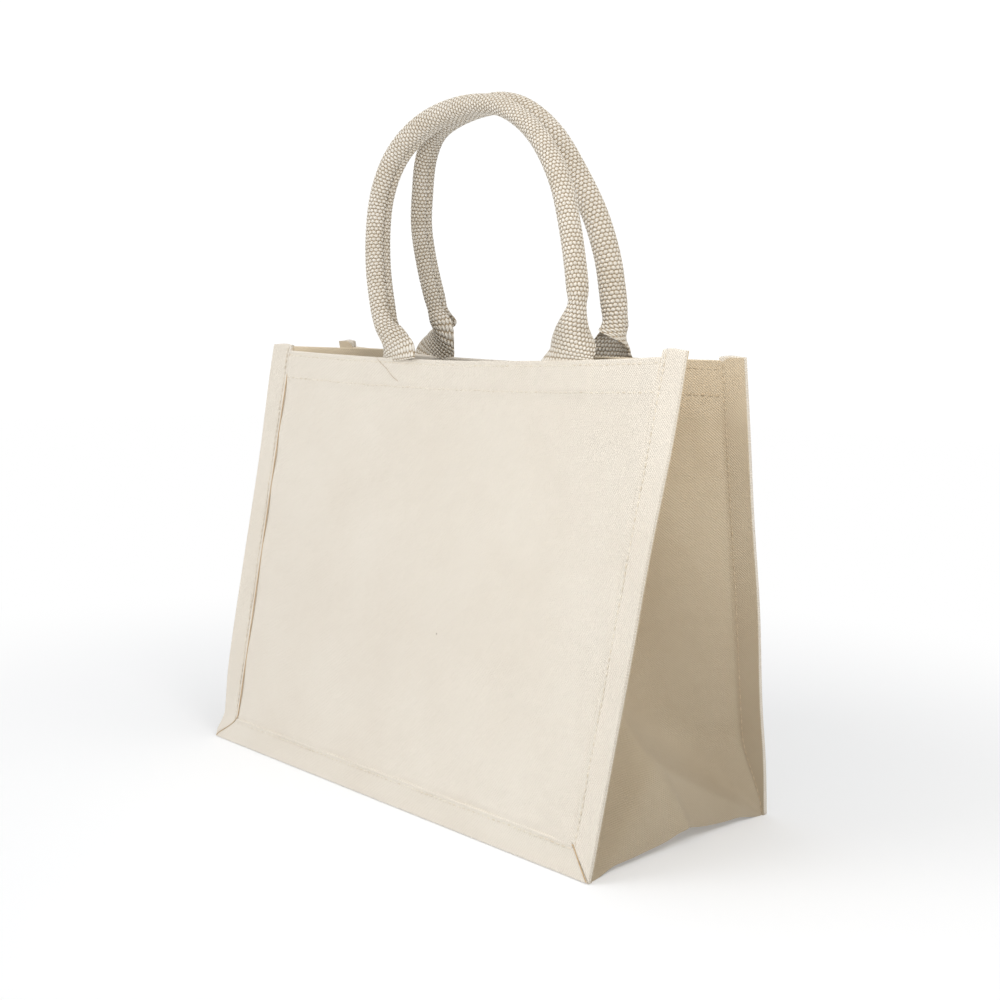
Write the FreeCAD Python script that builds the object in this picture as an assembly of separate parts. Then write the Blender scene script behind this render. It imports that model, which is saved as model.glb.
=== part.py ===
import FreeCAD, Part
import math
import os

# Canvas tote bag standing open, in millimetres.
# X runs along the front panel, Y towards the back, Z up.
# The origin is the centre of the footprint, on the floor.

# Overall sizes
bottom_width = 400.0        # over the side fins, at the floor
top_width = 412.0           # over the side fins, at the rim
bottom_depth = 188.0        # between the outer faces of the panels, at the floor
mouth_depth = 72.0          # between the outer faces of the panels, at the rim
panel_height = 320.0        # along the slope of a panel
rim_bow = 9.5               # how far the middle of a panel bows inwards at the rim
bow_flat = 260.0            # width of the straight middle of the bowed rim

# Cloth and seams
canvas = 0.8                # one layer of canvas
fin_layers = 4              # panel edge and strip edge, both turned in
side_fin_width = 18.0
bottom_fin_height = 20.0
fin_rise = 3.0              # how far a side fin stands above the rim
fin_bend = 40.0             # degrees that two opposite side fins are pressed outwards
hem_depth = 24.0
hem_margin = 6.0            # least distance between the end of a panel's hem and the side seam

# Gusset strip: two sides and the bottom, cut in one piece
gusset_spread = 195.0       # half the strip's width across the bag, at the floor
gusset_fold_depth = 84.0    # how far the side folds in at the rim
gusset_apex_height = 52.0   # where the inward fold starts
gusset_apex_inset = 4.0
bottom_flat = 35.0          # width of the flat margin along each long bottom seam
bottom_arch = 9.0           # rise of the bottom between the margins
gusset_rim_gap = 4.8        # from a panel's outer face to the gusset, at the rim

# Handles: webbing rolled round a core
webbing_width = 48.0
webbing_thickness = 1.6
handle_spacing = 178.0      # between the middles of a handle's two feet
handle_offset = 16.0        # of the feet from the middle of the panel
crown_offset = -5.0         # of the crown from the middle of the panel
crown_height = 172.0        # of the crown's centre line above the fold line of the feet
left_crown_radius = 96.0
right_crown_radius = 104.0
tube_width = 18.0           # across the loop
tube_depth = 15.0           # through the loop
core_diameter = 10.0
flare_height = 18.0         # where the flat foot has become a tube
pivot_rise = 3.0            # of the foot's fold line above the rim
tail_margin = 3.0           # between the end of a tail and the bottom of the hem

# Thread
thread_width = 0.5
thread_height = 0.4
closing_thread = 0.35       # radius of the thread that closes the rolled webbing
seam_inset = 2.5            # of a fin's stitch row from its crease
upper_row = 4.0             # of the hem's upper row below the rim
row_margin = 2.0            # of the hem's lower row above the hem's lower edge

# Running clearances
fold_gap = 0.3              # between the two panels' fins and the strip
foot_gap = 0.2              # across the fold line of a handle's foot
handle_gap = 0.3            # between the two crowns, where they lean together
core_gap = 0.2              # round the core, inside the webbing
seat_gap = 0.15             # between the bottom and the folded sides
hem_gap = 0.35              # between the end of a panel's hem and the folded sides' hems

# Worked out from the sizes above
fin_stack = fin_layers * canvas
hem_stack = webbing_thickness + canvas
lean = math.degrees(math.asin((bottom_depth - mouth_depth) / 2 / panel_height))
lean_sin = math.sin(math.radians(lean))
lean_cos = math.cos(math.radians(lean))
foot_height = fin_stack * lean_sin
rim_height = panel_height * lean_cos + foot_height
strip_half_depth = bottom_depth / 2 - fin_stack / lean_cos - canvas * lean_sin - fold_gap
rim_half_depth = mouth_depth / 2 - gusset_rim_gap
rim_crease = top_width / 2 - side_fin_width
crown_radii = {-1: left_crown_radius, 1: right_crown_radius}
field_top = panel_height + pivot_rise
lower_row = hem_depth - row_margin

X = FreeCAD.Vector(1, 0, 0)
Y = FreeCAD.Vector(0, 1, 0)
Z = FreeCAD.Vector(0, 0, 1)
ORIGIN = FreeCAD.Vector(0, 0, 0)


def edge_at(v):
    """Half the panel's width over the side fins, at v along its slope."""
    return (bottom_width + (top_width - bottom_width) * v / panel_height) / 2


def crease_at(v):
    """Half the panel's width between the side creases, at v along its slope."""
    return edge_at(v) - side_fin_width


def prism(outline, back, front):
    """A flat piece in the panel's own frame: an outline of (u, v) from w = back to w = front."""
    points = [FreeCAD.Vector(u, v, back) for u, v in outline]
    face = Part.Face(Part.makePolygon(points + points[:1]))
    return face.extrude(FreeCAD.Vector(0, 0, front - back))


def strip(start, end, width):
    """A straight row of thread on the panel's outer face, between two (u, v) points."""
    along = FreeCAD.Vector(end[0] - start[0], end[1] - start[1], 0).normalize()
    side = FreeCAD.Vector(-along.y, along.x, 0) * (width / 2)
    corners = []
    for point, sign in ((start, -1), (end, -1), (end, 1), (start, 1)):
        corners.append((point[0] + sign * side.x, point[1] + sign * side.y))
    return prism(corners, 0.0, thread_height)


def bend_fin(shape, side, angle):
    """Turn a side fin, and what is sewn on it, outwards about its crease."""
    low = FreeCAD.Vector(side * crease_at(0), 0, 0)
    high = FreeCAD.Vector(side * crease_at(panel_height), panel_height, 0)
    return shape.rotated(low, high - low, -side * angle)


def on_panel(shape, facing):
    """Stand a piece made in the panel's frame in the bag: facing is -1 at the front and 1 at the back."""
    placed = shape.copy()
    base = FreeCAD.Vector(0, -bottom_depth / 2, foot_height)
    placed.Placement = FreeCAD.Placement(base, FreeCAD.Rotation(X, 90 - lean)).multiply(placed.Placement)
    return placed if facing < 0 else placed.mirror(ORIGIN, Y)


def foot_centres():
    return [handle_offset - handle_spacing / 2, handle_offset + handle_spacing / 2]


def bow_at(v):
    """How far the middle of a panel lies inside the plane of its creases, at v along its slope."""
    return rim_bow * (v - bottom_fin_height) / (panel_height - bottom_fin_height)


def bowed_line(v, w):
    """Three edges across a panel at v: straight over the middle and curving out to both creases."""
    half, flat, bow = crease_at(v), bow_flat / 2, bow_at(v)
    left, right = FreeCAD.Vector(-flat, v, w - bow), FreeCAD.Vector(flat, v, w - bow)
    left_end, right_end = FreeCAD.Vector(-half, v, w), FreeCAD.Vector(half, v, w)
    middle = Part.LineSegment(left, right).toShape()
    if bow == 0:
        start, end = Part.LineSegment(left_end, left).toShape(), Part.LineSegment(right, right_end).toShape()
        return [start, middle, end]
    radius = ((half - flat) ** 2 + bow ** 2) / (2 * bow)
    angle = math.asin((half - flat) / radius) / 2
    out = FreeCAD.Vector(radius * math.sin(angle), 0, 0)
    back = FreeCAD.Vector(0, 0, radius * (1 - math.cos(angle)))
    start = Part.Arc(left_end, left - out + back, left).toShape()
    end = Part.Arc(right, right + out + back, right_end).toShape()
    return [start, middle, end]


def bowed_section(v, back, front):
    """The closed outline of a bowed layer across the panel at v."""
    half = crease_at(v)
    ends = []
    for side in (1, -1):
        corners = FreeCAD.Vector(side * half, v, front), FreeCAD.Vector(side * half, v, back)
        ends.append(Part.LineSegment(*corners).toShape())
    return Part.Wire(Part.sortEdges(bowed_line(v, front) + ends + bowed_line(v, back))[0])


def bowed_layer(outline, back, front):
    """The part of a bowed layer of the panel that lies inside an outline of (u, v)."""
    low, high = bowed_section(bottom_fin_height, back, front), bowed_section(field_top, back, front)
    layer = Part.makeLoft([low, high], True, True)
    return layer.common(prism(outline, back - 2 * rim_bow, front + rim_bow))


def panel_field():
    """The cloth of a panel between its creases, from the bottom fin to the rim."""
    half = edge_at(panel_height)
    low, high = bottom_fin_height, panel_height
    return bowed_layer([(-half, low), (half, low), (half, high), (-half, high)], -canvas, 0.0)


def side_fin(side):
    top = panel_height + fin_rise
    outline = [
        (side * edge_at(0), 0.0),
        (side * edge_at(top), top),
        (side * crease_at(top), top),
        (side * crease_at(bottom_fin_height), bottom_fin_height),
    ]
    return prism(outline, -fin_stack, 0.0)


def bottom_fin():
    low, high = edge_at(0), crease_at(bottom_fin_height)
    outline = [(-low, 0.0), (low, 0.0), (high, bottom_fin_height), (-high, bottom_fin_height)]
    return prism(outline, -fin_stack, 0.0)


def side_seam_thread(side):
    low = bottom_fin_height
    top = panel_height + fin_rise - seam_inset
    start = (side * (crease_at(low) + seam_inset), low)
    end = (side * (crease_at(top) + seam_inset), top)
    return strip(start, end, thread_width)


def bottom_seam_thread():
    v = bottom_fin_height - seam_inset
    return strip((-crease_at(v), v), (crease_at(v), v), thread_width)


def hem_half_width():
    """The hem starts where the bowed rim has left the folded side, whose hem runs inwards from the seam."""
    curve = crease_at(panel_height) - bow_flat / 2
    growth = rim_bow / curve ** 2
    parting = rim_half_depth / gusset_fold_depth - 2 * rim_bow / curve
    clear = (math.sqrt(parting ** 2 + 4 * growth * hem_gap) - parting) / (2 * growth)
    return crease_at(panel_height) - max(hem_margin, clear)


def panel_hem():
    """The top edge turned down inside, with a pocket for each handle tail."""
    half = hem_half_width()
    low = panel_height - hem_depth
    outline = [(-half, low), (half, low), (half, panel_height), (-half, panel_height)]
    hem = bowed_layer(outline, -canvas - hem_stack, -canvas)
    for centre in foot_centres():
        hem = hem.cut(bowed_layer(tail_outline(centre, panel_height), -canvas - webbing_thickness, -canvas))
    return hem


def tail_outline(centre, top):
    half = webbing_width / 2
    low = panel_height - hem_depth + tail_margin
    return [(centre - half, low), (centre + half, low), (centre + half, top), (centre - half, top)]


def handle_tail(centre):
    """The flat end of a handle, caught between the panel and its hem."""
    top = field_top - foot_gap / 2
    return bowed_layer(tail_outline(centre, top), -canvas - webbing_thickness, -canvas)


def hem_thread(below_rim):
    half = hem_half_width()
    low = panel_height - below_rim - thread_width / 2
    high = low + thread_width
    return bowed_layer([(-half, low), (half, low), (half, high), (-half, high)], 0.0, thread_height)


def stadium(centre, across, normal, width, depth):
    """A closed outline of two straight sides and two round ends, square to normal."""
    through = normal.cross(across).normalize()
    run = across * ((width - depth) / 2)
    reach = through * (depth / 2)
    end = across * (width / 2)
    p1, p2 = centre - run - reach, centre + run - reach
    p3, p4 = centre + run + reach, centre - run + reach
    edges = [
        Part.LineSegment(p1, p2).toShape(),
        Part.Arc(p2, centre + end, p3).toShape(),
        Part.LineSegment(p3, p4).toShape(),
        Part.Arc(p4, centre - end, p1).toShape(),
    ]
    return Part.Wire(edges)


def shoulder(side):
    """Where a leg is upright and the crown starts, as (x, height above the fold line)."""
    return crown_offset + side * crown_radii[side], crown_height - crown_radii[side]


def leg(side, height, inset):
    """Point and direction on a leg's arc, which is upright at the shoulder and goes through the foot."""
    across, up = shoulder(side)
    foot = handle_offset + side * handle_spacing / 2
    sway = across - foot
    radius = (sway ** 2 + up ** 2) / (2 * sway)
    angle = math.asin((up - height) / radius)
    reach = radius - side * inset
    along = FreeCAD.Vector(math.sin(angle), 0, math.cos(angle))
    centre = FreeCAD.Vector(across - radius, 0, up)
    return centre + FreeCAD.Vector(along.z, 0, -along.x) * reach, along


def half_loop(side, height, inset):
    """One leg and its quarter of the crown, upwards, moved towards the inside of the loop by inset."""
    across, up = shoulder(side)
    low = leg(side, height, inset)[0]
    mid = leg(side, (height + up) / 2, inset)[0]
    top_of_leg = FreeCAD.Vector(across - side * inset, 0, up)
    radius = crown_radii[side] - inset
    middle = FreeCAD.Vector(crown_offset, 0, up)
    turn = middle + (X * side + Z) * (radius * math.sqrt(0.5))
    return [
        Part.Arc(low, mid, top_of_leg).toShape(),
        Part.Arc(top_of_leg, turn, middle + Z * radius).toShape(),
    ]


def loop_path(height, inset):
    """The handle's line from one leg to the other, moved towards the inside of the loop by inset."""
    edges = half_loop(-1, height, inset) + half_loop(1, height, inset)
    return Part.Wire(Part.sortEdges(edges)[0])


def sweep(path, section):
    return path.makePipeShell([section], True, False)


def rolled_webbing():
    """The moving part of the webbing: two flared feet and the tube between them, hollow for the core."""
    path = loop_path(flare_height, 0.0)
    start, along = leg(-1, flare_height, 0.0)
    across = Y.cross(along).normalize()
    webbing = sweep(path, stadium(start, across, along, tube_width, tube_depth))
    for side in (-1, 1):
        top, along = leg(side, flare_height, 0.0)
        across = Y.cross(along).normalize()
        foot = FreeCAD.Vector(handle_offset + side * handle_spacing / 2, 0, foot_gap / 2)
        flat = stadium(foot, X, Z, webbing_width, webbing_thickness)
        round_end = stadium(top, across, along, tube_width, tube_depth)
        webbing = webbing.fuse(Part.makeLoft([flat, round_end], True, True))
    hole = Part.Wire(Part.Circle(start, along_at_start(), core_diameter / 2 + core_gap).toShape())
    return webbing.cut(sweep(path, hole)).removeSplitter()


def along_at_start():
    return leg(-1, flare_height, 0.0)[1]


def handle_core():
    start = leg(-1, flare_height, 0.0)[0]
    section = Part.Wire(Part.Circle(start, along_at_start(), core_diameter / 2).toShape())
    return sweep(loop_path(flare_height, 0.0), section)


def handle_closing_thread():
    """The thread that closes the rolled webbing, along the inside of the loop."""
    inset = tube_width / 2 + closing_thread + foot_gap / 2
    start, along = leg(-1, flare_height, inset)
    section = Part.Wire(Part.Circle(start, along, closing_thread).toShape())
    return sweep(loop_path(flare_height, inset), section)


def on_handle(shape, facing):
    """Lean a handle on its fold line until its crown almost meets the other one."""
    pivot = fold_line()
    reach = crown_height + (tube_width - tube_depth) / 2
    travel = -pivot.y - webbing_thickness / 2 - tube_depth / 2 - handle_gap / 2
    tilt = math.degrees(math.asin(travel / reach))
    placed = shape.copy()
    placed.translate(FreeCAD.Vector(0, pivot.y + webbing_thickness / 2, pivot.z))
    placed.rotate(pivot, X, -tilt)
    return placed if facing < 0 else placed.mirror(ORIGIN, Y)


def fold_line():
    """A point on the front handle's fold line: the outer face of the webbing, just above the rim."""
    v = field_top
    out = -canvas - bow_at(v)
    y = -bottom_depth / 2 + v * lean_sin - out * lean_cos
    z = foot_height + v * lean_cos + out * lean_sin
    return FreeCAD.Vector(0, y, z)


def gusset_level(z):
    """Seam and crease points of a folded side at height z, with the offset of one layer at each."""
    share = z / rim_height
    seam_x = gusset_spread + (rim_crease - gusset_spread) * share
    seam_y = strip_half_depth + (rim_half_depth - strip_half_depth) * share
    climb = (z - gusset_apex_height) / (rim_height - gusset_apex_height)
    apex_x = gusset_spread - gusset_apex_inset
    crease_x = apex_x + (rim_crease - gusset_fold_depth - apex_x) * max(climb, 0.0)
    fold = math.atan2(seam_y, max(seam_x - crease_x, 0.0)) if z > 0 else math.pi / 2
    crease_offset = FreeCAD.Vector(-canvas / math.sin(fold), 0, 0)
    seam_offset = FreeCAD.Vector(-math.sin(fold), math.cos(fold), 0) * canvas
    front = FreeCAD.Vector(seam_offset.x, -seam_offset.y, 0)
    return [
        (FreeCAD.Vector(seam_x, -seam_y, z), front),
        (FreeCAD.Vector(crease_x, 0, z), crease_offset),
        (FreeCAD.Vector(seam_x, seam_y, z), seam_offset),
    ]


def folded_sheet(corners, triangles, near, far):
    """A closed solid between two copies of a faceted sheet, near and far layers in from its corners."""
    rings = [[point + offset * depth for point, offset in corners] for depth in (near, far)]
    faces = []
    used = {}
    for a, b, c in triangles:
        for ring in rings:
            faces.append(Part.Face(Part.makePolygon([ring[a], ring[b], ring[c], ring[a]])))
        for start, end in ((a, b), (b, c), (c, a)):
            key = (min(start, end), max(start, end))
            used[key] = used.get(key, 0) + 1
    for (start, end), times in used.items():
        if times == 1:
            near_start, near_end = rings[0][start], rings[0][end]
            far_start, far_end = rings[1][start], rings[1][end]
            faces.append(Part.Face(Part.makePolygon([near_start, near_end, far_end, near_start])))
            faces.append(Part.Face(Part.makePolygon([near_start, far_end, far_start, near_start])))
    solid = Part.Solid(Part.makeShell(faces))
    if solid.Volume < 0:
        solid.reverse()
    return solid


def between(low, high, z):
    """The point and offset at height z on the straight line between two corners of a sheet."""
    share = (z - low[0].z) / (high[0].z - low[0].z)
    return low[0] + (high[0] - low[0]) * share, low[1] + (high[1] - low[1]) * share


def rim_band_row(z):
    """The corners at height z across the top band of a folded side, whose two halves are each two facets."""
    seam, crease, far_seam = gusset_level(rim_height - hem_depth)
    top_seam, top_crease, top_far_seam = gusset_level(rim_height)
    return [
        between(seam, top_seam, z),
        between(seam, top_crease, z),
        between(crease, top_crease, z),
        between(far_seam, top_crease, z),
        between(far_seam, top_far_seam, z),
    ]


def gusset_thread(below_rim):
    """A row of stitches round the outside of a folded side."""
    z = rim_height - below_rim
    corners = rim_band_row(z - thread_width / 2) + rim_band_row(z + thread_width / 2)
    columns = len(corners) // 2
    triangles = []
    for near in range(columns - 1):
        triangles.append((near, near + 1, columns + near + 1))
        triangles.append((near, columns + near + 1, columns + near))
    return folded_sheet(corners, triangles, -thread_height / canvas, 0.0)


def rim_band(first):
    """Triangles of the top band, whose lower seam corner is number first."""
    seam, crease, far_seam, top_seam, top_crease, top_far_seam = range(first, first + 6)
    return [
        (seam, crease, top_crease),
        (seam, top_crease, top_seam),
        (crease, far_seam, top_crease),
        (far_seam, top_far_seam, top_crease),
    ]


def side_gusset():
    """One folded side of the strip, from the arched bottom edge to the rim."""
    inward = FreeCAD.Vector(-canvas, 0, 0)
    bottom = [(FreeCAD.Vector(gusset_spread, y, z), inward) for y, z in bottom_outline()]
    apex = gusset_level(gusset_apex_height)[1]
    corners = bottom + [apex] + gusset_level(rim_height - hem_depth) + gusset_level(rim_height)
    triangles = [(0, 1, 5), (1, 2, 5), (2, 3, 5), (3, 4, 5)]
    triangles += [(0, 5, 7), (0, 7, 6), (5, 4, 7), (4, 8, 7)]
    return folded_sheet(corners, triangles + rim_band(6), 0.0, 1.0)


def gusset_hem():
    """The top edge of a folded side, turned down inside."""
    corners = gusset_level(rim_height - hem_depth) + gusset_level(rim_height)
    return folded_sheet(corners, rim_band(0), 1.0, 2.0)


def bottom_outline():
    """The strip's lower face across the bag, as (y, z): flat along both seams and arched between."""
    flat = strip_half_depth - bottom_flat
    return [(-strip_half_depth, 0.0), (-flat, 0.0), (0.0, bottom_arch), (flat, 0.0), (strip_half_depth, 0.0)]


def bottom_sheet():
    """The floor of the bag."""
    reach = gusset_spread - canvas - seat_gap
    lower = [FreeCAD.Vector(-reach, y, z) for y, z in bottom_outline()]
    upper = [point + Z * canvas for point in reversed(lower)]
    face = Part.Face(Part.makePolygon(lower + upper + lower[:1]))
    return face.extrude(X * (2 * reach))


def on_side(shape, side):
    return shape.mirror(ORIGIN, X) if side < 0 else shape


def export(name, shape):
    shape.exportStep("parts/" + name + ".step")


def build_base():
    export("bottom_panel", bottom_sheet())
    for name, side in (("left", -1), ("right", 1)):
        export(name + "_gusset", on_side(side_gusset(), side))
        export(name + "_gusset_hem", on_side(gusset_hem(), side))
        export(name + "_gusset_upper_thread", on_side(gusset_thread(upper_row), side))
        export(name + "_gusset_lower_thread", on_side(gusset_thread(lower_row), side))


def build_panel(name, facing, bent_side):
    export(name + "_panel", on_panel(panel_field(), facing))
    export(name + "_bottom_fin", on_panel(bottom_fin(), facing))
    export(name + "_bottom_seam_thread", on_panel(bottom_seam_thread(), facing))
    for label, side in (("left", -1), ("right", 1)):
        angle = fin_bend if side == bent_side else 0.0
        export(f"{name}_{label}_fin", on_panel(bend_fin(side_fin(side), side, angle), facing))
        seam = bend_fin(side_seam_thread(side), side, angle)
        export(f"{name}_{label}_seam_thread", on_panel(seam, facing))
    export(name + "_hem", on_panel(panel_hem(), facing))
    export(name + "_hem_upper_thread", on_panel(hem_thread(upper_row), facing))
    export(name + "_hem_lower_thread", on_panel(hem_thread(lower_row), facing))
    for label, centre in zip(("left", "right"), foot_centres()):
        export(f"{name}_handle_{label}_tail", on_panel(handle_tail(centre), facing))


def build_handle(name, facing):
    export(name + "_handle_webbing", on_handle(rolled_webbing(), facing))
    export(name + "_handle_core", on_handle(handle_core(), facing))
    export(name + "_handle_closing_thread", on_handle(handle_closing_thread(), facing))


os.makedirs("parts", exist_ok=True)
build_base()
for panel_name, panel_facing, pressed_fin in (("front", -1, -1), ("back", 1, 1)):
    build_panel(panel_name, panel_facing, pressed_fin)
    build_handle(panel_name, panel_facing)
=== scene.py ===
import math

import bmesh
import bpy
import numpy as np
from mathutils import Matrix, Vector


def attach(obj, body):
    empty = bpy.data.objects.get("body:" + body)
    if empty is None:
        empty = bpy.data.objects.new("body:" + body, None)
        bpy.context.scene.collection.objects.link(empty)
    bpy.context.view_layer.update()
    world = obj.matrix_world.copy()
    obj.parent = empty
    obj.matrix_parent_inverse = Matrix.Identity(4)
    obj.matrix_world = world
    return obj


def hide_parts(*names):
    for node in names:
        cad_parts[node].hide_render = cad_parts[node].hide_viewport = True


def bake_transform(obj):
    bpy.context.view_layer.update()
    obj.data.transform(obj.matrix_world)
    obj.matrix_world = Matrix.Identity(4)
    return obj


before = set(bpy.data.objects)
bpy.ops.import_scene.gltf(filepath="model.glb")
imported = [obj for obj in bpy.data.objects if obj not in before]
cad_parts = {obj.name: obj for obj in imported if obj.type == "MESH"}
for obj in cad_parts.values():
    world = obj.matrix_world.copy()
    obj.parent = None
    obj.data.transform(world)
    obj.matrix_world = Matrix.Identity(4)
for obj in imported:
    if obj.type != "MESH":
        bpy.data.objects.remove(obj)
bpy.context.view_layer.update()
random = np.random.default_rng(11)

# Sizes in millimetres, in the same frame as the CAD model.
MM = 0.001
bottom_width = 400.0
top_width = 412.0
bottom_depth = 188.0
mouth_depth = 72.0
panel_height = 320.0
canvas = 0.8
side_fin_width = 18.0
bottom_fin_height = 20.0
fin_stack = 4 * canvas
fin_rise = 4.5              # of a side fin above the rim
fin_bend = {"front": 13.0, "back": 10.0}     # degrees that each panel's pressed fin stands out of it
corner_poke = 9.0           # of the front left corner's seams beyond the side fin
hem_depth = 24.0
hem_fold = 1.2              # radius of the fold over the rim, to the middle of the cloth
rim_bow = 11.5              # of the middle of a panel, inwards at the rim
rim_droop = 3.0
gusset_spread = 195.0
gusset_fold_depth = 84.0
gusset_apex_height = 52.0
gusset_apex_inset = 15.0
gusset_fold_rate = 50.0     # height over which the inward fold closes
half_columns = 70           # of the cloth's grid between a side's crease and its seam
wing_columns = 8            # of the grid on the inner face of a fin
bottom_arch = 8.0
bottom_peak = 8.0           # of the arched bottom edge, behind the middle
webbing_width = 50.0
webbing_thickness = 1.6
foot_x = {-1: -74.0, 1: 105.0}
stitch_length = 3.7
stitch_pitch = 4.7
stitch_radius = 0.45
crease_shadow_radius = 0.42          # of the tan strip of painted shade along a front crease
stray_radius = 0.16         # of the loose thread
hem_rows = {"upper": 4.0, "lower": 22.0}     # distance of each row of stitches below the rim
bottom_row = 3.2            # of the bottom seam's stitches below the top of the bottom fin
side_row = 2.9              # of a side seam's stitches out from the crease
fold_radius = 0.8           # of the folded edges at a fin's free side
sharp_angle = 62            # degrees between faces above which an edge is drawn sharp
hem_clearance = 0.05        # between the cloth of a side and its hem
yarn_across = 3.1           # spacing of the webbing's yarns
yarn_along = 2.7
yarn_half_width = 0.54      # of a yarn, as a share of yarn_across
yarn_half_length = 0.56     # as a share of yarn_along
yarn_sway = 0.3             # of each row, back and forth, as a share of yarn_along
side_word = {-1: "left", 1: "right"}
facing_word = {-1: "front", 1: "back"}

lean = math.asin((bottom_depth - mouth_depth) / 2 / panel_height)
foot_height = fin_stack * math.sin(lean)
rim_height = panel_height * math.cos(lean) + foot_height
seam_depth = bottom_depth / 2 - fin_stack - canvas

# How far each corner of a panel sits from its place in the plain lean, (x, y, z), by facing, side and end.
# These are not chosen by hand: a least-squares fit to the photograph's corners gave them, to 0.1 mm.
corner_shift = {
    (-1, -1, 0): (0.7, 0.5, 0.0),
    (-1, 1, 0): (-0.5, -0.9, 0.0),
    (-1, -1, 1): (0.6, 1.1, -2.6),
    (-1, 1, 1): (3.0, 2.7, 3.1),
    (1, -1, 0): (0.0, 0.0, 0.0),
    (1, 1, 0): (-0.7, 0.3, 0.0),
    (1, -1, 1): (-1.6, -2.0, 2.1),
    (1, 1, 1): (-1.5, -1.3, -1.2),
}


# ---------------------------------------------------------------- meshes

def smoothstep(x, low, high):
    t = np.clip((x - low) / (high - low), 0.0, 1.0)
    return t * t * (3 - 2 * t)


def make_piece(name, points, faces, material, uv=None, smooth=True):
    """A mesh object from points in millimetres; uv gives each point's place on its flat cloth, in metres."""
    mesh = bpy.data.meshes.new(name)
    mesh.from_pydata((np.asarray(points, float) * MM).tolist(), [], faces)
    mesh.validate()
    if uv is not None:
        corner = np.empty(len(mesh.loops), np.int32)
        mesh.loops.foreach_get("vertex_index", corner)
        layer = mesh.uv_layers.new(name="cloth")
        layer.data.foreach_set("uv", np.asarray(uv, np.float32)[corner].ravel())
    mesh.polygons.foreach_set("use_smooth", np.full(len(mesh.polygons), smooth))
    mesh.set_sharp_from_angle(angle=math.radians(sharp_angle))
    mesh.materials.append(material)
    obj = bpy.data.objects.new(name, mesh)
    bpy.context.scene.collection.objects.link(obj)
    return obj


def slab(name, outer, inner, material, uv):
    """A closed sheet between two grids of points (rows, columns, 3)."""
    rows, columns = outer.shape[:2]
    count = rows * columns
    index = np.arange(count).reshape(rows, columns)
    corners = [index[:-1, :-1], index[:-1, 1:], index[1:, 1:], index[1:, :-1]]
    front = np.stack(corners, -1).reshape(-1, 4)
    faces = front.tolist() + (front[:, ::-1] + count).tolist()
    ring = [*index[0, :], *index[1:, -1], *index[-1, -2::-1], *index[-2:0:-1, 0]]
    for start, end in zip(ring, ring[1:] + ring[:1]):
        faces.append([int(end), int(start), int(start) + count, int(end) + count])
    points = np.concatenate([outer.reshape(-1, 3), inner.reshape(-1, 3)])
    flat = uv.reshape(-1, 2)
    return make_piece(name, points, faces, material, np.concatenate([flat, flat]))


def lofted(name, rings, material, uv):
    """A closed skin through rings of points (rings, points, 3), capped at both ends."""
    rows, columns = rings.shape[:2]
    index = np.arange(rows * columns).reshape(rows, columns)
    after = np.roll(index, -1, axis=1)
    faces = np.stack([index[:-1], after[:-1], after[1:], index[1:]], -1).reshape(-1, 4).tolist()
    faces.append(index[0, ::-1].tolist())
    faces.append(index[-1].tolist())
    return fix_normals(make_piece(name, rings.reshape(-1, 3), faces, material, uv.reshape(-1, 2)))


def thin_tube(name, middles, section, material):
    """A thin tube through points; section is the ring of offsets round each of them."""
    rings = np.array(middles)[:, None, :] + section[None, :, :]
    return lofted(name, rings, material, np.zeros((*rings.shape[:2], 2)))


def fix_normals(obj):
    """Turn every face of a closed piece outwards."""
    work = bmesh.new()
    work.from_mesh(obj.data)
    bmesh.ops.recalc_face_normals(work, faces=work.faces)
    work.to_mesh(obj.data)
    work.free()
    return obj


def facing_out(obj, outwards):
    """Turn a piece's faces round if its first faces look against outwards."""
    mesh = obj.data
    total = Vector((0, 0, 0))
    for polygon in list(mesh.polygons)[:40]:
        total += polygon.normal
    if total.dot(Vector(outwards)) < 0:
        mesh.flip_normals()
    return obj


def stitches(name, places, material):
    """One mesh of separate stitches; each place is (centre, direction, outward), in millimetres."""
    around, along = 6, 5
    points, faces = [], []
    for centre, direction, outward in places:
        direction = direction / np.linalg.norm(direction)
        outward = outward - direction * (outward @ direction)
        outward = outward / np.linalg.norm(outward)
        side = np.cross(direction, outward)
        first = len(points)
        for i in range(along):
            t = 2 * i / (along - 1) - 1
            girth = stitch_radius * math.sqrt(max(1 - 0.92 * t * t, 0.05))
            middle = centre + direction * (t * stitch_length / 2) + outward * (0.22 * (1 - t * t) - 0.08)
            for j in range(around):
                turn = 2 * math.pi * j / around
                points.append(middle + girth * (math.cos(turn) * side + 0.8 * math.sin(turn) * outward))
        for i in range(along - 1):
            for j in range(around):
                k = (j + 1) % around
                low, high = first + i * around, first + (i + 1) * around
                faces.append([low + j, low + k, high + k, high + j])
        faces.append([first + j for j in reversed(range(around))])
        faces.append([first + (along - 1) * around + j for j in range(around)])
    return make_piece(name, np.array(points), faces, material)


def stitch_row(surface, start, end, wave=0.25):
    """Places of the stitches along a straight row on surface(u, v), between two (u, v) points."""
    start, end = np.array(start, float), np.array(end, float)
    length = np.linalg.norm(end - start)
    count = int(length / stitch_pitch)
    run = (end - start) / length
    side = np.array([-run[1], run[0]])
    places = []
    for i in range(count):
        stray = side * wave * math.sin(i * 0.9) * random.uniform(0.2, 1)
        at = start + run * (i + 0.5) * length / count + stray
        tilt = random.normal(0, 0.05)
        ahead = at + (run + side * tilt)
        here, there, across = surface(*at), surface(*ahead), surface(*(at + side))
        direction = there - here
        places.append((here, direction, np.cross(direction, across - here)))
    return places


def turned_out(places, facing):
    """The same stitches, each with its outward direction on the panel's outer side."""
    outer = np.array([0, facing, 0.2])
    return [(middle, along, out if out @ outer > 0 else -out) for middle, along, out in places]


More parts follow.
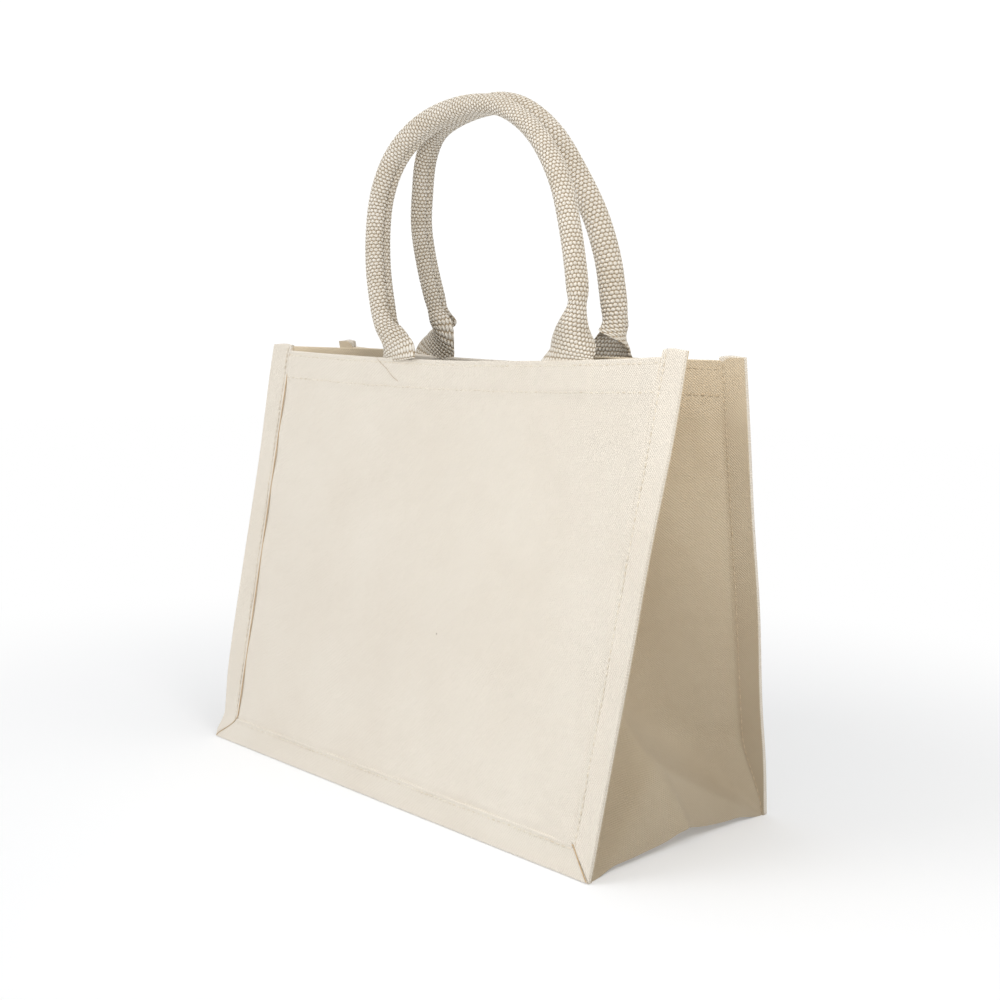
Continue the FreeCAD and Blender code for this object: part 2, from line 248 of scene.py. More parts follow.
def length_along(line):
    """Length from the start of a line of points to each of them."""
    return np.concatenate([[0], np.cumsum(np.linalg.norm(np.diff(line, axis=0), axis=1))])


def at_length(values, run, at):
    """The row of values that belongs to a length along a line."""
    return np.array([np.interp(at, run, values[:, k]) for k in range(values.shape[1])])


def places_along(line, out, run, stops, lift):
    """Places of stitches at the given lengths along a line, lifted by a little towards out."""
    places = []
    for at in stops:
        point, outward = at_length(line, run, at), at_length(out, run, at)
        ahead = at_length(line, run, min(at + 1, run[-1]))
        places.append((point + outward * lift, ahead - point, outward))
    return places


# ---------------------------------------------------------------- where the panels' cloth lies

def edge_at(v):
    return (bottom_width + (top_width - bottom_width) * v / panel_height) / 2


def crease_at(v):
    return edge_at(v) - side_fin_width


def ripple(facing, u, v):
    """The soft unevenness of standing canvas, in millimetres."""
    turn = 1.3 * facing
    broad = 0.9 * np.sin(u / 47 + v / 83 + turn) * np.sin(v / 71 - u / 130 + 0.6)
    fine = 0.28 * np.sin(u / 17.3 - v / 29 + 2 * turn) * np.sin(v / 23 + u / 61)
    return broad + fine


def panel_point(facing, u, v, w):
    """World place of (u, v, w): u along the panel, v up its slope, w out of it. Facing is -1 at the front."""
    u, v, w = np.broadcast_arrays(np.asarray(u, float), np.asarray(v, float), np.asarray(w, float))
    across = np.clip(u / crease_at(v), -1, 1)
    inside = 1 - across ** 2
    rise = np.clip((v - bottom_fin_height) / (panel_height - bottom_fin_height), 0, 1.1)
    w = w - rim_bow * inside * rise + ripple(facing, u, v) * np.sqrt(inside) * np.minimum(rise * 8, 1)
    x = u
    y = -bottom_depth / 2 + v * math.sin(lean) - w * math.cos(lean)
    z = foot_height + v * math.cos(lean) + w * math.sin(lean) - rim_droop * inside * rise ** 3
    if facing > 0:
        y = -y
    if facing < 0:
        outmost = smoothstep(-u, crease_at(v) - 2, edge_at(v)) * (1 - smoothstep(v, 2, 24))
        x = x - corner_poke * outmost
    share = np.clip(v / panel_height, 0, 1.1)
    right = np.clip((u / edge_at(v) + 1) / 2, 0, 1)
    place = np.stack([x, y, z], -1)
    for (face, side, end), shift in corner_shift.items():
        if face == facing:
            weight = (right if side > 0 else 1 - right) * (share if end else 1 - share)
            place = place + weight[..., None] * np.array(shift)
    return place


def pressed_groove(distance, depth=0.34, width=1.1):
    """How far cloth is drawn in by a row of stitches."""
    return -depth * np.exp(-(distance / width) ** 2)


def field_relief(facing, u, v):
    """Fine relief of the panel's outer face: the hem's step, its stitch rows and the pull of the seams."""
    below = panel_height - v
    step = 0.45 * (1 - smoothstep(below, hem_depth - 0.5, hem_depth + 3.0))
    rows = pressed_groove(below - hem_rows["upper"]) + pressed_groove(below - hem_rows["lower"])
    pucker = 0.12 * np.sin(u * 2 * math.pi / (stitch_pitch * 2.9) + 0.4 * np.sin(u / 19))
    rows = rows + pucker * np.exp(-((below - 13) / 11) ** 2)
    foot = np.zeros_like(u)
    for side in (-1, 1):
        foot = foot + 0.7 * smoothstep(webbing_width / 2 + 2 - np.abs(u - foot_x[side]), 0, 5)
    step = step + foot * (1 - smoothstep(below, hem_depth - 4, hem_depth))
    edge = crease_at(v) - np.abs(u)
    side_pull = 0.5 * np.exp(-(edge / 7) ** 2) * np.sin(v / 9.5 + facing + 1.5 * np.sin(v / 37))
    foot_pull = 0.35 * np.exp(-((v - bottom_fin_height) / 9) ** 2) * np.sin(u / 8.3 + 2 * np.sin(u / 31))
    dip = -0.5 * np.exp(-(edge / 1.3) ** 2) - 0.5 * np.exp(-((v - bottom_fin_height) / 1.5) ** 2)
    return step + rows + side_pull + foot_pull + dip


# ---------------------------------------------------------------- materials

def node_material(name, color, rough, sheen):
    material = bpy.data.materials.new(name)
    material.use_nodes = True
    tree = material.node_tree
    shader = tree.nodes["Principled BSDF"]
    shader.inputs["Base Color"].default_value = (*color, 1)
    shader.inputs["Roughness"].default_value = rough
    shader.inputs["Specular IOR Level"].default_value = 0.25
    shader.inputs["Sheen Weight"].default_value = sheen
    shader.inputs["Sheen Roughness"].default_value = 0.5
    return material, tree, shader


def add(tree, kind, **settings):
    node = tree.nodes.new(kind)
    for key, value in settings.items():
        if key in node.inputs:
            node.inputs[key].default_value = value
        else:
            setattr(node, key, value)
    return node


def math_node(tree, operation, first, second=None):
    node = add(tree, "ShaderNodeMath", operation=operation)
    for socket, value in zip(node.inputs, (first, second)):
        if value is None:
            continue
        if hasattr(value, "links"):
            tree.links.new(value, socket)
        else:
            socket.default_value = value
    return node.outputs[0]


def wave_node(tree, source, period):
    """A sine of source that repeats after each period."""
    return math_node(tree, "SINE", math_node(tree, "MULTIPLY", source, 2 * math.pi / period))


def square_node(tree, source, reach):
    """The square of source over reach."""
    size = math_node(tree, "ABSOLUTE", math_node(tree, "DIVIDE", source, reach))
    return math_node(tree, "POWER", size, 2.0)


def nearest_node(tree, source):
    """Source rounded to the nearest whole number."""
    return math_node(tree, "FLOOR", math_node(tree, "ADD", source, 0.5))


def cloth_coordinates(tree):
    """The place on the flat cloth, in millimetres, as separate sockets."""
    uv = add(tree, "ShaderNodeUVMap", uv_map="cloth")
    parts = add(tree, "ShaderNodeSeparateXYZ")
    tree.links.new(uv.outputs["UV"], parts.inputs[0])
    across = math_node(tree, "MULTIPLY", parts.outputs[0], 1000.0)
    along = math_node(tree, "MULTIPLY", parts.outputs[1], 1000.0)
    return across, along


def object_noise(tree, scale, detail, roughness=0.5, stretch=None):
    place = add(tree, "ShaderNodeTexCoord")
    source = place.outputs["Object"]
    if stretch:
        mapping = add(tree, "ShaderNodeMapping")
        mapping.inputs["Scale"].default_value = stretch
        tree.links.new(source, mapping.inputs["Vector"])
        source = mapping.outputs["Vector"]
    noise = add(tree, "ShaderNodeTexNoise", Scale=scale, Detail=detail, Roughness=roughness)
    tree.links.new(source, noise.inputs["Vector"])
    return noise.outputs["Fac"]


def ramp(tree, source, stops):
    node = add(tree, "ShaderNodeValToRGB")
    elements = node.color_ramp.elements
    while len(elements) < len(stops):
        elements.new(0.5)
    for element, (position, color) in zip(elements, stops):
        element.position = position
        element.color = (*color, 1)
    tree.links.new(source, node.inputs["Fac"])
    return node.outputs["Color"]


def mixed(tree, factor, first, second, blend="MIX"):
    node = add(tree, "ShaderNodeMix", data_type="RGBA", blend_type=blend)
    sockets = (node.inputs["Factor"], node.inputs[6], node.inputs[7])
    for socket, value in zip(sockets, (factor, first, second)):
        if hasattr(value, "links"):
            tree.links.new(value, socket)
        elif isinstance(value, tuple):
            socket.default_value = (*value, 1)
        else:
            socket.default_value = value
    return node.outputs[2]


def bump(tree, shader, heights):
    """Chain bump nodes: each height is (socket, strength, distance in metres)."""
    normal = None
    for source, strength, distance in heights:
        node = add(tree, "ShaderNodeBump", Strength=strength, Distance=distance)
        tree.links.new(source, node.inputs["Height"])
        if normal is not None:
            tree.links.new(normal, node.inputs["Normal"])
        normal = node.outputs["Normal"]
    tree.links.new(normal, shader.inputs["Normal"])


def canvas_material(name, low, high, rib_light_and_shade, shaded):
    """Undyed cotton twill: fine diagonal ribs, uneven yarns, faint flecks and a mottle between two tones.

    Shaded is painted shade: how much darker its colour is made at the floor than at the rim.
    """
    material, tree, shader = node_material(name, low, 0.92, 0.12)
    across, along = cloth_coordinates(tree)
    waver = math_node(tree, "MULTIPLY", object_noise(tree, 90, 3), 1.6)
    diagonal = math_node(tree, "ADD", math_node(tree, "ADD", across, along), waver)
    rib = wave_node(tree, diagonal, 1.75)
    yarn = wave_node(tree, across, 0.9)
    pick = wave_node(tree, along, 1.05)
    weave = math_node(tree, "MULTIPLY", math_node(tree, "ADD", yarn, pick), 0.25)
    slub = math_node(tree, "MULTIPLY", object_noise(tree, 320, 2), 1.2)
    height = math_node(tree, "ADD", math_node(tree, "ADD", rib, weave), slub)
    mottle = ramp(tree, object_noise(tree, 11, 5, 0.6), [(0.3, low), (0.7, high)])
    # Painted highlight on the twill ribs' crests and painted shade in their grooves.
    shade = math_node(tree, "MULTIPLY", math_node(tree, "ADD", rib, 1.0), 0.5)
    ribs_lit_and_shaded = mixed(tree, math_node(tree, "MULTIPLY", shade, rib_light_and_shade), mottle, (0.93, 0.89, 0.81))
    groove_shade = math_node(tree, "MULTIPLY", math_node(tree, "SUBTRACT", 1.0, shade), rib_light_and_shade * 0.8)
    ribs_lit_and_shaded = mixed(tree, groove_shade, ribs_lit_and_shaded, (0.60, 0.50, 0.38))
    fleck = add(tree, "ShaderNodeTexVoronoi", Scale=34.0, feature="F1")
    place = add(tree, "ShaderNodeTexCoord")
    tree.links.new(place.outputs["Object"], fleck.inputs["Vector"])
    rare = add(tree, "ShaderNodeSeparateColor")
    tree.links.new(fleck.outputs["Color"], rare.inputs[0])
    spot = math_node(tree, "LESS_THAN", fleck.outputs["Distance"], 0.018)
    chosen = math_node(tree, "GREATER_THAN", rare.outputs[0], 0.94)
    colour = mixed(tree, math_node(tree, "MULTIPLY", spot, chosen), ribs_lit_and_shaded, (0.25, 0.17, 0.10))
    heights = add(tree, "ShaderNodeSeparateXYZ")
    tree.links.new(place.outputs["Object"], heights.inputs[0])
    # Painted shade: the colour is multiplied down towards the floor, by shaded at the floor, fading out by
    # 0.3 m up.
    painted_floor_shade = add(tree, "ShaderNodeMapRange")
    for socket, value in (("From Min", 0.0), ("From Max", 0.3), ("To Min", 1 - shaded), ("To Max", 1.0)):
        painted_floor_shade.inputs[socket].default_value = value
    tree.links.new(heights.outputs[2], painted_floor_shade.inputs["Value"])
    colour = mixed(tree, 1.0, colour, painted_floor_shade.outputs["Result"], "MULTIPLY")
    tree.links.new(colour, shader.inputs["Base Color"])
    bump(tree, shader, [(height, 0.6, 0.00018), (object_noise(tree, 45, 4), 0.35, 0.0008)])
    return material


def webbing_material():
    """Coarse cotton webbing: staggered rows of plump yarns, with painted shade in the tan gaps between them,
    as in yarn_relief.
    """
    material, tree, shader = node_material("cotton_webbing", (0.84, 0.79, 0.69), 0.9, 0.18)
    across, along = cloth_coordinates(tree)
    zigzag = math_node(tree, "FRACT", math_node(tree, "DIVIDE", across, 2 * yarn_across))
    zigzag = math_node(tree, "ABSOLUTE", math_node(tree, "SUBTRACT", zigzag, 0.5))
    sway = math_node(tree, "MULTIPLY", zigzag, yarn_sway)
    run = math_node(tree, "ADD", math_node(tree, "DIVIDE", along, yarn_along), sway)
    row = nearest_node(tree, run)
    shift = math_node(tree, "FRACT", math_node(tree, "MULTIPLY", row, 0.5))
    beside = math_node(tree, "SUBTRACT", math_node(tree, "DIVIDE", across, yarn_across), shift)
    beside = math_node(tree, "SUBTRACT", beside, nearest_node(tree, beside))
    across_drop = square_node(tree, beside, yarn_half_width)
    along_drop = square_node(tree, math_node(tree, "SUBTRACT", run, row), yarn_half_length)
    knot = math_node(tree, "SUBTRACT", 1.0, math_node(tree, "ADD", across_drop, along_drop))
    knot = math_node(tree, "MAXIMUM", knot, 0.0)
    # Painted shade: dark tan in the gaps between the yarns, rising to the yarns' own cream on their backs.
    tones = [(0.0, (0.40, 0.30, 0.19)), (0.28, (0.72, 0.65, 0.54)), (0.65, (0.90, 0.86, 0.79))]
    mottle = ramp(tree, object_noise(tree, 60, 4), [(0.3, (0.90, 0.88, 0.84)), (0.7, (1.0, 1.0, 1.0))])
    colour = mixed(tree, 1.0, ramp(tree, knot, tones), mottle, "MULTIPLY")
    tree.links.new(colour, shader.inputs["Base Color"])
    fibre, fuzz = wave_node(tree, along, 0.55), object_noise(tree, 400, 2)
    bump(tree, shader, [(knot, 1.0, 0.0008), (fibre, 0.25, 0.00006), (fuzz, 0.3, 0.0002)])
    return material


def yarn_material(name, color, rough, sheen, mottle, low, high, relief=None):
    """Thread or cord in two tones; mottle is (scale, detail), relief (scale, detail, strength, distance)."""
    material, tree, shader = node_material(name, color, rough, sheen)
    tone = ramp(tree, object_noise(tree, *mottle), [(0.3, low), (0.7, high)])
    tree.links.new(tone, shader.inputs["Base Color"])
    if relief:
        bump(tree, shader, [(object_noise(tree, *relief[:2]), *relief[2:])])
    return material


def thread_material(name, low, high):
    return yarn_material(name, low, 0.75, 0.1, (260, 2), low, high, (900, 2, 0.4, 0.0001))


def loose_thread_material():
    low, high = (0.36, 0.25, 0.15), (0.52, 0.40, 0.27)
    return yarn_material("brown_thread", (0.42, 0.30, 0.19), 0.8, 0.1, (300, 2), low, high)


# Dark tan for the strips of painted shade in the front's creases and mitres.
def crease_shadow_material():
    low, high = (0.50, 0.34, 0.18), (0.64, 0.48, 0.30)
    return yarn_material("crease_shadow_tan", (0.56, 0.40, 0.23), 0.9, 0.05, (90, 2), low, high)


def cord_material():
    low, high, relief = (0.66, 0.59, 0.47), (0.80, 0.74, 0.63), (500, 3, 0.5, 0.0003)
    return yarn_material("cotton_cord", (0.74, 0.68, 0.57), 0.95, 0.1, (120, 3), low, high, relief)


twill = canvas_material("panel_twill", (0.77, 0.715, 0.63), (0.82, 0.775, 0.695), 0.24, 0.0)
# Painted shade: the panels' twill made darker and warmer for the sides and bottom, which stand in shade.
side_twill_painted_shade = canvas_material("side_twill_painted_shade", (0.64, 0.52, 0.355), (0.73, 0.62, 0.45), 0.20, 0.28)
webbing = webbing_material()
thread = thread_material("sewing_thread", (0.70, 0.62, 0.50), (0.86, 0.81, 0.71))
# Painted shade: the sewing thread made darker for the sides, which stand in shade.
side_thread_painted_shade = thread_material("side_thread_painted_shade", (0.54, 0.43, 0.29), (0.72, 0.62, 0.47))
loose = loose_thread_material()
cord = cord_material()
crease_shadow_tan = crease_shadow_material()


# ---------------------------------------------------------------- panels

def folded_path():
    """The cloth's middle and normal, (v, w, normal v, normal w), from the bottom seam to the hem's end."""
    straight = np.linspace(bottom_fin_height - 1.0, panel_height - hem_fold - canvas / 2, 172)
    path = [(v, -canvas / 2, 0.0, 1.0) for v in straight]
    for turn in np.linspace(0, math.pi, 13)[1:]:
        v = panel_height - hem_fold - canvas / 2 + hem_fold * math.sin(turn)
        w = -canvas / 2 - hem_fold + hem_fold * math.cos(turn)
        path.append((v, w, math.sin(turn), math.cos(turn)))
    low = panel_height - hem_depth
    for v in np.linspace(straight[-1], low, 13)[1:]:
        path.append((v, -canvas / 2 - 2 * hem_fold, 0.0, -1.0))
    return np.array(path)


def sheet_along(name, facing, path, half_width, columns, material):
    """A piece of the panel's cloth along part of the folded path, as wide as half_width(v) each way."""
    share = np.linspace(-1, 1, columns)
    v, w, nv, nw = (path[:, i:i + 1] for i in range(4))
    half = half_width(v)
    u = half * share[None, :]
    relief = field_relief(facing, u, v * np.ones_like(u)) * np.clip(nw, 0, 1)
    outer = panel_point(facing, u, v + nv * canvas / 2, w + nw * canvas / 2 + relief)
    inner = panel_point(facing, u, v - nv * canvas / 2, w - nw * canvas / 2 + relief)
    step = np.hypot(np.diff(path[:, 0]), np.diff(path[:, 1]))
    run = np.concatenate([[0], np.cumsum(step)])
    uv = np.stack([u * MM, run[:, None] * np.ones_like(u) * MM + 0.02], -1)
    obj = slab(name, outer, inner, material, uv)
    return facing_out(obj, (0, facing, 0.1))


def build_field(name, facing):
    path = folded_path()
    top = np.argmax(path[:, 0]) + 1
    panel = sheet_along(name + "_canvas", facing, path[:top], crease_at, 190, twill)
    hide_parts(name + "_panel")
    hem_path = path[top - 1:]
    hem = sheet_along(name + "_hem_cloth", facing, hem_path, lambda v: crease_at(v) - 2.0, 190, twill)
    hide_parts(name + "_hem")
    return [panel, hem]


def fin_ring():
    """Section of a side fin as (distance from crease, w): two folded edges at its free end."""
    ring = [(d, 0.0) for d in np.linspace(0, side_fin_width - fold_radius, 9)]
    for middle in (-canvas, -3 * canvas):
        for turn in np.linspace(80, -80, 7):
            angle = math.radians(turn)
            out = side_fin_width - fold_radius + fold_radius * math.cos(angle)
            ring.append((out, middle + fold_radius * math.sin(angle)))
    ring += [(d, -fin_stack) for d in np.linspace(side_fin_width - fold_radius, 0, 9)]
    return np.array(ring)


def fin_point(facing, side, bend, distance, v, w):
    """World place of a point on a side fin, bent about its crease except where it joins the bottom fin."""
    mitre = bottom_fin_height * (1 - distance / side_fin_width)
    lift = smoothstep(distance, 0.0, 3.0) * smoothstep(v - mitre, -2.0, 62.0)
    sway = 1 + 0.08 * np.sin(v / 37 + side + facing)
    angle = np.radians(bend) * lift * sway + np.radians(2.5) * np.sin(v / 29 + 2 * side) * lift
    edge = distance * (1 + 0.02 * np.sin(v / 21 + side))
    out = edge * np.cos(angle) - w * np.sin(angle)
    rise = edge * np.sin(angle) + w * np.cos(angle)
    return panel_point(facing, side * (crease_at(v) + out), v, rise)


def build_side_fin(name, facing, side, bend):
    ring = fin_ring()
    distance, w = ring[:, 0], ring[:, 1]
    low = bottom_fin_height * (1 - distance / side_fin_width) + 0.3
    share = np.concatenate([[0, 0.0015], np.linspace(0.005, 0.995, 150), [0.9985, 1.0]])
    high = panel_height + fin_rise + 0.6 * np.sin(distance / 4)
    v = low[None, :] + share[:, None] * (high - low)[None, :]
    shrink = np.ones(len(share))
    shrink[[0, -1]] = 0.6
    shrink[[1, -2]] = 0.9
    thick = -fin_stack / 2 + (w[None, :] + fin_stack / 2) * shrink[:, None]
    outer = (w > -0.1)[None, :]
    d = distance[None, :] * np.ones_like(v)
    along = np.sin(v * 2 * math.pi / stitch_pitch)
    seam = np.exp(-((d - 2.5) / 1.0) ** 2)
    thick = thick + np.where(outer, -seam * (0.25 + 0.08 * along) + 0.18 * np.sin(v / 11 + d / 5), 0)
    points = fin_point(facing, side, bend, d, v, thick)
    uv = np.stack([(200 + d) * side * MM, v * MM], -1)
    obj = lofted(f"{name}_{side_word[side]}_fin_cloth", points, twill, uv)
    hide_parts(f"{name}_{side_word[side]}_fin")
    return obj


def bottom_fin_ring():
    """Section of the bottom fin as (v, w): a plump stitched crease above, two folded edges at the floor."""
    ring = [(v, 0.0) for v in np.linspace(fold_radius, bottom_fin_height - 1.5, 10)]
    for turn in np.linspace(90, -90, 9):
        angle = math.radians(turn)
        ring.append((bottom_fin_height - 1.5 + 1.5 * math.cos(angle), -1.6 + 1.6 * math.sin(angle)))
    ring += [(v, -fin_stack) for v in np.linspace(bottom_fin_height - 1.5, fold_radius, 10)]
    for middle in (-3 * canvas, -canvas):
        for turn in np.linspace(-100, -260, 7):
            angle = math.radians(turn)
            low = fold_radius + fold_radius * math.cos(angle)
            ring.append((low, middle + fold_radius * math.sin(angle)))
    return np.array(ring)


def build_bottom_fin(name, facing):
    ring = bottom_fin_ring()
    v, w = ring[:, 0], ring[:, 1]
    half = crease_at(bottom_fin_height) + side_fin_width * (1 - v / bottom_fin_height) - 0.3
    share = np.linspace(-1, 1, 230)
    u = share[:, None] * half[None, :]
    level = v[None, :] * np.ones_like(u)
    along = np.sin(u * 2 * math.pi / stitch_pitch)
    seam = np.exp(-((level - (bottom_fin_height - bottom_row)) / 1.1) ** 2)
    swell = 0.55 * np.exp(-((level - (bottom_fin_height - 0.8)) / 1.3) ** 2)
    outer = (w > -0.2)[None, :] | (level > bottom_fin_height - 1.6) & (w[None, :] > -1.6)
    wave = 0.25 * np.sin(u / 14 + 1.2 * np.sin(u / 40)) * smoothstep(level, 2, 8)
    depth = w[None, :] + np.where(outer, swell + wave - seam * (0.3 + 0.1 * along), 0)
    points = panel_point(facing, u, level, depth)
    uv = np.stack([u * MM, level * MM], -1)
    obj = lofted(name + "_bottom_fin_cloth", points, twill, uv)
    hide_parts(name + "_bottom_fin")
    return obj


def tail_slab(name, facing, side):
    """The flat end of a handle between the panel and its hem."""
    u = foot_x[side] + np.linspace(-webbing_width / 2, webbing_width / 2, 40)[None, :]
    v = np.linspace(panel_height - hem_depth + 3, panel_height - 8, 14)[:, None]
    u, v = np.broadcast_arrays(u, v)
    outer = panel_point(facing, u, v, -canvas - 0.05)
    inner = panel_point(facing, u, v, -canvas - webbing_thickness + 0.05)
    label = side_word[side]
    obj = slab(f"{name}_{label}_tail_webbing", outer, inner, webbing, np.stack([u * MM, v * MM], -1))
    fix_normals(obj)
    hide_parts(f"{name}_handle_{label}_tail")
    return obj


def build_panel(name, facing, bent_side):
    pieces = build_field(name, facing)
    panel = pieces[0]
    pieces.append(build_bottom_fin(name, facing))
    for side in (-1, 1):
        bend = fin_bend[name] if side == bent_side else 0.0
        pieces.append(build_side_fin(name, facing, side, bend))
        label = side_word[side]

        def on_fin(distance, v, side=side, bend=bend):
            return fin_point(facing, side, bend, np.array(distance), np.array(v), np.array(0.05))

        ends = (side_row, bottom_fin_height - 2), (side_row, panel_height + fin_rise - 2)
        row = stitch_row(on_fin, *ends)
        seam = stitches(f"{name}_{label}_seam_stitches", turned_out(row, facing), thread)
        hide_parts(f"{name}_{label}_seam_thread")
        pieces.append(seam)
        pieces.append(tail_slab(name, facing, side))

    def on_field(u, v):
        return panel_point(facing, u, v, field_relief(facing, np.array(u), np.array(v)) + 0.1)

    def on_bottom(u, v):
        return panel_point(facing, u, v, np.array(-0.15))

    half = crease_at(panel_height) - 1.0
    rows = {
        "hem_upper": (on_field, half, panel_height - hem_rows["upper"]),
        "hem_lower": (on_field, half, panel_height - hem_rows["lower"]),
        "bottom_seam": (on_bottom, half - 4, bottom_fin_height - bottom_row),
    }
    for label, (surface, reach, v) in rows.items():
        row = stitch_row(surface, (-reach, v), (reach, v))
        seam = stitches(f"{name}_{label}_stitches", turned_out(row, facing), thread)
        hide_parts(f"{name}_{label}_thread")
        pieces.append(seam)
    for piece in pieces:
        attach(piece, name + "_side")
    return panel


def crease_shadow_line(label, side, route):
    """A tan strip of painted shade in a front seam's crease, along route: (distance from the middle, height)
    points.
    """
    line, _ = through(route, 1.5)
    turn = np.linspace(0, 2 * math.pi, 6, endpoint=False)
    section = crease_shadow_radius * np.stack([np.cos(turn), np.sin(turn) * 0.8, np.zeros(6)], -1)
    middles = [panel_point(-1, side * u, v, np.array(0.12)) for u, v in line]
    obj = thin_tube(f"front_{label}_crease_shadow_line", middles, section, crease_shadow_tan)
    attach(obj, "front_side")


def build_crease_shadow_lines():
    """Strips of painted shade: along the left fin's whole crease and corner mitre, and along the right
    corner's mitre alone.
    """
    corner = [(crease_at(20) + 2.5, 18.0), (edge_at(8) - 8.0, 8.8), (edge_at(0) - 1.2, 0.9)]
    crease = [(crease_at(v) - 0.2, v) for v in np.linspace(panel_height - 3, 28, 60)]
    crease_shadow_line("left", -1, crease + [(crease_at(20) + 0.3, 21.5)] + corner)
    crease_shadow_line("right", 1, [(crease_at(20) + 0.8, 19.6)] + corner)


# ---------------------------------------------------------------- folded sides and bottom

def seam_distance(v):
    """How far out on a side fin the side's seam runs: in the crease, but out to the corner at the floor."""
    return 0.6 + 15.5 * (1 - smoothstep(v, 0, 62))


def on_fin_back(facing, side, z, share):
    """Points on a side fin's inner face at height z, from the seam (share 0) to the free edge (share 1)."""
    bend = fin_bend[facing_word[facing]] if side == facing else 0.0
    v = np.maximum((z - foot_height) / math.cos(lean), 0.3)
    start = seam_distance(v)
    distance = start + share * (side_fin_width - 0.5 - start)
    return fin_point(facing, side, bend, distance, v, -fin_stack - canvas - 0.15)


def crease_inset(z):
    """How far the middle crease lies inside the line between the seams, at height z."""
    above = np.maximum(z - gusset_apex_height, 0)
    closing = 1 - np.exp(-above / gusset_fold_rate)
    start = gusset_apex_inset * np.clip(z / gusset_apex_height, 0, 1)
    return start + (gusset_fold_depth - gusset_apex_inset) * closing


def fold_in(eta, z):
    """How far the cloth lies inside the seams' line: it fans from each bottom corner to the middle crease."""
    closeness = np.maximum(1 - np.sqrt(eta ** 2 + 0.02 ** 2), 0.0)
    level = closeness ** np.where(eta < 0, 1.45, 1.0)
    return closeness * crease_inset(z / np.maximum(level, 0.03))


def bottom_edge(y):
    """Height of the sides' lower edge: low at the seams and peaked near the middle."""
    peak = bottom_arch * np.exp(-np.abs(y - bottom_peak) / 24)
    return (3.2 + peak) * (1 - smoothstep(np.abs(y), 62, seam_depth))


def smoothed(values, passes):
    """Soften a grid of values while its border stays in place."""
    for _ in range(passes):
        inner = values.copy()
        upright = values[1:-1, 1:-1] * 2 + values[:-2, 1:-1] + values[2:, 1:-1]
        inner[1:-1, 1:-1] = (upright + values[1:-1, :-2] + values[1:-1, 2:]) / 6
        values = inner
    return values


def gusset_grid(side):
    """Points of a folded side, rows up from the floor and columns from the front seam to the back seam."""
    eta = np.linspace(-1, 1, 2 * half_columns + 1)
    share = np.linspace(0, 1, 200)
    low = bottom_edge(eta * seam_depth)
    z = low[None, :] + share[:, None] * (rim_height - low)[None, :]
    e = eta[None, :] * np.ones_like(z)
    front = on_fin_back(-1, side, z, 0.0)
    back = on_fin_back(1, side, z, 0.0)
    middle = (e + 1) / 2
    line = front * (1 - middle)[..., None] + back * middle[..., None]
    y = line[..., 1]
    drift = 2.0 * np.sin(z / 47 + side) * (1 - e ** 2) * smoothstep(z, 60, 160)
    wrinkle = 0.9 * np.sin(e * 5.1 + z / 31 + side) * np.sin(z / 44 + 1) * (1 - e ** 2)
    fine = 0.3 * np.sin(e * 13 - z / 12) * np.sin(z / 17 + e * 4) * (1 - e ** 2)
    middle_line = bottom_peak * (1 - z / gusset_apex_height)
    centre = np.exp(-((y - middle_line) / 6) ** 2) * (1 - smoothstep(z, 30, 58))
    slack = 2.5 * np.sin(math.pi * np.abs(e)) * smoothstep(z, 90, 180) * (1 - smoothstep(z, 240, 315))
    offset = smoothed(wrinkle + fine + slack + 3.0 * centre - fold_in(e, z), 7)
    line[..., 0] += side * offset
    line[..., 1] += smoothed(drift, 2)
    line[..., 2] = z
    out = np.linspace(1, 0, wing_columns, endpoint=False)[None, :]
    raised = 1 + 0.9 * fin_rise / rim_height * np.minimum(3 * out, 1)
    front_wing = on_fin_back(-1, side, z[:, :1] * raised, out)
    back_wing = on_fin_back(1, side, z[:, -1:] * raised[:, ::-1], out[:, ::-1])
    grid = np.concatenate([front_wing, line, back_wing], axis=1)
    edges = ((0, 0), (wing_columns, wing_columns))
    return grid, np.pad(z, edges, mode="edge")


def grid_normals(grid):
    """Unit normals of a grid of points."""
    rows = np.gradient(grid, axis=0)
    columns = np.gradient(grid, axis=1)
    normal = np.cross(columns, rows)
    return normal / np.linalg.norm(normal, axis=-1, keepdims=True)


def arc_lengths(grid, axis):
    step = np.linalg.norm(np.diff(grid, axis=axis), axis=-1)
    start = np.zeros_like(np.take(step, [0], axis=axis))
    return np.concatenate([start, np.cumsum(step, axis=axis)], axis=axis)


def gusset_blend(obj):
    """Bake the piece's placement into its mesh."""
    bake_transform(obj)


